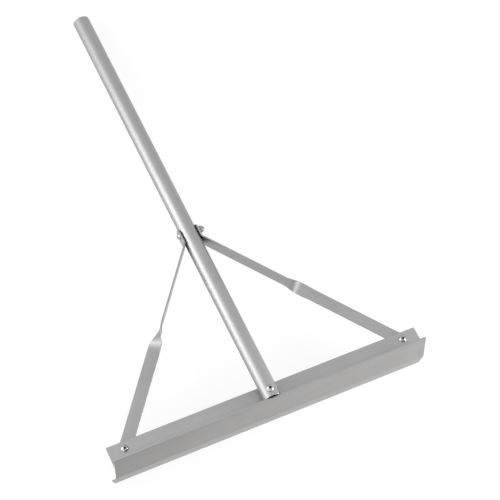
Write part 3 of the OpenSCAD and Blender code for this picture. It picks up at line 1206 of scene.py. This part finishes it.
@dataclass(frozen=True)
class Fastener:
    """A button-head bolt with its washer, lock nut and nylon insert, about the seat under the head."""

    name: str
    node: str
    grip: float
    place: Matrix
    spin: float
    sizes: FastenerSizes = FastenerSizes()
    steel: Finish = PlatedSteel("plated_steel")
    nylon: Finish = Nylon("nut_nylon")

    @property
    def nut_end(self) -> float:
        """Height of the far end of the nut's collar."""
        return -self.grip - self.sizes.washer_wall - self.sizes.nut_total

    @property
    def shank(self) -> float:
        """Length of the bolt below its head."""
        return self.sizes.tip_length - self.nut_end

    def bolt(self) -> Mesh:
        """The bolt: domed head with a six-sided socket, plain shank, rolled thread and chamfered tip.

        Returns:
            The mesh.
        """
        s = self.sizes
        rise = s.head_height - s.head_rim
        dome = (s.head_radius**2 + rise**2) / (2 * rise)
        slope = math.asin(s.head_radius / dome)
        falls = [slope * k / s.dome_rows for k in range(s.dome_rows)]
        head = [(dome * math.sin(a), s.head_height - dome + dome * math.cos(a)) for a in falls]
        rim = [
            (s.head_radius - s.rim_draw, s.head_rim + s.rim_rise),
            (s.head_radius, s.head_rim - s.rim_edge),
            (s.head_radius, s.rim_edge),
            (s.head_radius - EASE * s.rim_edge, EASE * s.rim_edge),
            (s.head_radius - s.rim_edge, 0.0),
        ]
        neck = [(s.bolt_radius + s.neck_flare, 0.0), (s.bolt_radius, -s.neck_drop)]
        shell, angles = Shell(), turns(s.bolt_sides)
        rings = [shell.hoop(radius, z, s.bolt_sides) for radius, z in head + rim + neck]
        top = s.thread_length - self.shank
        rows = round(s.thread_length / s.pitch * s.thread_rows)
        for k in range(rows + 1):
            z = top - s.thread_length * k / rows
            taper = s.bolt_radius - max(0.0, s.tip_chamfer - (z + self.shank))
            radii = [min(taper, self.thread(a, z, top)) for a in angles]
            rings.append(shell.ring((r * math.cos(a), r * math.sin(a), z) for r, a in zip(radii, angles)))
        rings.append(shell.hoop(0.0, -self.shank, s.bolt_sides))
        rim_rows = range(len(head), len(head) + len(rim) - 1)
        for i, (first, second) in enumerate(pairwise(rings)):
            shell.bridge(first, second, [i in rim_rows] * s.bolt_sides)
        section = hexagon(s.socket_width, s.socket_corner).points
        socket = prism(section, s.head_height - s.socket_depth, s.head_height + OVERCUT)
        # The socket is marked for painted shade.
        socket.worn_and_shaded = [-1.0] * len(socket.faces)
        mouth = s.head_height + s.flare_rise
        flare = [(0, s.head_height - s.flare_depth), (s.flare_radius, mouth), (0, mouth)]
        mesh = carve(shell.mesh("bolt"), socket, Carve.AWAY)
        return carve(mesh, lathe(flare, s.bolt_sides), Carve.AWAY)

    def thread(self, angle: float, height: float, top: float) -> float:
        """The thread's radius at a place on the shank.

        Args:
            angle: Place round the bolt.
            height: Place along it.
            top: Where the thread runs out into the plain shank.

        Returns:
            The radius.
        """
        s = self.sizes
        phase = (height / s.pitch - angle / math.tau) % 1.0
        wave = abs(2 * phase - 1)
        groove = min(1.0, max(0.0, (wave - s.thread_crest) / (1 - 2 * s.thread_crest)))
        fade = min(1.0, (top - height) / s.pitch)
        return s.bolt_radius - s.thread_depth * groove * fade

    def washer(self) -> Mesh:
        """The flat washer."""
        s, top = self.sizes, -self.grip
        return s.ring(top - s.washer_wall, top, s.washer_radius, s.hole_radius, s.washer_edges).mesh("washer")

    def nut(self) -> Mesh:
        """The lock nut: a hexagon with turned corners and a rolled round collar.

        Returns:
            The mesh.
        """
        s, end = self.sizes, self.nut_end
        flat = s.nut_width / 2
        corner = flat / math.cos(math.pi / HEX)
        bevel = (corner - flat) * math.tan(math.pi / HEX) * s.bevel_spread
        low, high = s.collar_height, s.nut_total
        line = [
            (0, 0),
            *((s.collar_radius - inward, up) for inward, up in s.lip),
            (s.collar_radius, low - s.collar_fillet),
            (s.collar_radius + s.collar_fillet, low),
            (flat - s.bevel_in, low),
            (corner + s.bevel_out, low + bevel),
            (corner + s.bevel_out, high - bevel),
            (flat - s.bevel_in, high),
            (0, high),
        ]
        section = hexagon(s.nut_width, s.nut_corner)
        blank = prism(section.points, end - OVERCUT, end + high + OVERCUT)
        # The hex flats are marked for painted shade, and their rounded corners as edges.
        blank.worn_and_shaded[: len(section.worn_and_shaded)] = [1.0 if worn_and_shaded else -s.painted_flat_shade for worn_and_shaded in section.worn_and_shaded]
        mesh = carve(blank.mesh("nut"), lathe([(r, z + end) for r, z in line], s.nut_sides), Carve.TO)
        seat, bore = s.insert_radius + s.gap, s.bolt_radius + s.gap
        mouth = bore + s.mouth + s.mouth_over
        cut = [
            (0, -OVERCUT),
            (seat, -OVERCUT),
            (seat, s.insert_height),
            (bore, s.insert_height),
            (bore, high - s.mouth),
            (mouth, high + s.mouth_over),
            (mouth, high + OVERCUT),
            (0, high + OVERCUT),
        ]
        return carve(mesh, lathe([(r, z + end) for r, z in cut], s.ring_sides), Carve.AWAY)

    def insert(self) -> Mesh:
        """The nylon ring in the nut's collar."""
        s, low, bore = self.sizes, self.nut_end, self.sizes.bolt_radius + self.sizes.gap
        return s.ring(low, low + s.insert_height, s.insert_radius, bore, s.insert_edges).mesh("insert")

    def build(self, workshop: Workshop) -> None:
        """Makes and fits the four pieces.

        Args:
            workshop: Where they are fitted.
        """
        turned = self.place @ Matrix.Rotation(self.spin, 4, "Z")
        pieces = (
            (self.bolt(), "Bolt", "bolt", "fastener_steel", self.steel),
            (self.washer(), "Washer", "washer", "fastener_steel", self.steel),
            (self.nut(), "LockNut", "nut", "fastener_steel", self.steel),
            (self.insert(), "NutInsert", "nut_insert", "nut_nylon", self.nylon),
        )
        for mesh, piece, node, slot, finish in pieces:
            workshop.fit(mesh, self.name + piece, f"{self.node}_{node}", slot, finish, turned)


# The studio


@dataclass(frozen=True)
class Softbox:
    """An area lamp aimed at a point, in metres."""

    name: str
    place: Place
    aim: Place
    width: float
    height: float
    power: float

    def build(self) -> None:
        """Hangs the lamp."""
        data = bpy.data.lights.new(self.name, "AREA")
        data.shape = "RECTANGLE"
        data.size, data.size_y, data.energy = self.width, self.height, self.power
        lamp = bpy.data.objects.new(self.name, data)
        lamp.location = self.place
        lamp.rotation_euler = (Vector(self.aim) - Vector(self.place)).to_track_quat("-Z", "Y").to_euler()
        bpy.context.scene.collection.objects.link(lamp)


@dataclass(frozen=True)
class Studio:
    """A white paper sweep, even light all round, softboxes, and the camera."""

    ambient: float = 0.80
    floor_radius: float = 8.0
    floor_sides: int = 64
    floor_drop: float = 0.0003
    lens: float = 120.69
    sensor: float = 36.0
    camera_place: Place = (-0.7719, -1.3214, 3.0771)
    camera_right: Place = (0.90571, -0.41109, 0.10336)
    camera_up: Place = (0.33405, 0.84231, 0.42298)
    camera_back: Place = (-0.26095, -0.34857, 0.90022)
    softboxes: tuple[Softbox, ...] = (
        Softbox("left_far", (-2.305, 0.528, 0.508), (0.0, 0.0, 0.1), 1.1, 1.1, 13.4),
        Softbox("left_high", (-1.500, 1.262, 1.505), (0.0, 0.0, 0.1), 1.1, 1.1, 5.5),
        Softbox("left_near", (-1.0, 0.35, 0.5), (-0.1, 0.0, 0.0), 0.8, 0.8, 7.4),
        Softbox("right_far", (2.050, -1.085, 0.703), (0.0, 0.0, 0.1), 1.1, 1.1, 8.0),
        Softbox("right_near", (1.2, -1.0, 0.45), (0.1, -0.5, 0.05), 0.7, 0.7, 21.0),
        Softbox("left_back", (-0.70, 1.10, 0.40), (-0.1, -0.2, 0.1), 0.35, 0.35, 0.35),
        Softbox("left_front", (-1.0, -0.88, 0.62), (0.05, -0.2, 0.1), 0.7, 0.7, 2.5),
    )
    finish: Finish = PaleFloor("paper_floor")

    def build(self) -> None:
        """Sets up the floor, the light and the camera."""
        self.floor()
        self.world()
        for softbox in self.softboxes:
            softbox.build()
        self.camera()
        bpy.context.scene.view_settings.view_transform = "Standard"

    def floor(self) -> None:
        """Lays the paper."""
        shell = Shell()
        shell.face(shell.hoop(self.floor_radius, 0.0, self.floor_sides))
        mesh = shell.mesh("paper")
        mesh.materials.append(self.finish.material())
        paper = bpy.data.objects.new("PaperFloor", mesh)
        paper.location.z = -self.floor_drop
        bpy.context.scene.collection.objects.link(paper)
        paper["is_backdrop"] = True

    def world(self) -> None:
        """Even light from all round, white to the eye."""
        world = bpy.data.worlds.new("studio")
        bpy.context.scene.world = world
        world.use_nodes = True
        graph = Graph(world.node_tree)
        camera, mirror = graph.rays()
        sky = graph.mix(camera + mirror, grey(self.ambient), grey(1.0))
        light = graph.make("ShaderNodeBackground", {}, {"Color": sky, "Strength": 1.0}, "Background")
        graph.node("ShaderNodeOutputWorld", {}, {"Surface": light})

    def camera(self) -> None:
        """Stands the camera where the photograph was taken from."""
        data = bpy.data.cameras.new("camera")
        data.lens, data.sensor_width = self.lens, self.sensor
        camera = bpy.data.objects.new("camera", data)
        turn = Matrix((self.camera_right, self.camera_up, self.camera_back)).transposed()
        camera.matrix_world = Matrix.Translation(self.camera_place) @ turn.to_4x4()
        bpy.context.scene.collection.objects.link(camera)
        bpy.context.scene.camera = camera


def write_sizes() -> None:
    """Gathers the CAD model's box and the finished model's box, and keeps neither."""
    boxes = {"cad": cad_box, "visual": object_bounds()}
    {name: [list(corner) for corner in box] for name, box in boxes.items()}


def main() -> None:
    """Builds the rake and the studio."""
    logging.basicConfig(level=logging.INFO, format="%(name)s: %(message)s")
    workshop = Workshop(Placement())
    blade, handle = Blade(), Handle()
    left = Brace(Side.LEFT, math.radians(89), twist_middle=234.0, twist_length=70.0)
    right = Brace(Side.RIGHT, math.radians(82), twist_middle=229.0, twist_length=64.0)
    blade_bolts = [Vector((brace.side.value * brace.foot_x, -brace.bolt_drop, 0)) for brace in (left, right)]
    foot_bolt = Vector((0, handle.foot_bolt, handle.axis + handle.diameter / 2))
    cross_bolt = Vector((-handle.axis - left.wall, left.bend_height + left.tab_rise, handle.axis))

    blade.build(workshop, [bolt.xy for bolt in (*blade_bolts, foot_bolt)])
    handle.build(workshop, cross_bolt.y)
    for brace in (left, right):
        brace.build(workshop)

    at_left, at_right, at_foot = (Matrix.Translation(bolt) for bolt in (*blade_bolts, foot_bolt))
    across = Matrix.Translation(cross_bolt) @ Matrix.Rotation(-QUARTER, 4, "Y")
    clamped = blade.rib_wall + left.wall
    for fastener in (
        Fastener("LeftBlade", "left_blade", clamped, at_left, spin=math.radians(12)),
        Fastener("RightBlade", "right_blade", clamped, at_right, spin=math.radians(41)),
        Fastener("Foot", "foot", foot_bolt.z + blade.rib_wall, at_foot, spin=math.radians(27)),
        Fastener("Cross", "cross", -2 * cross_bolt.x, across, spin=math.radians(8)),
    ):
        fastener.build(workshop)
    Studio().build()
    write_sizes()


if __name__ == "__main__":
    main()
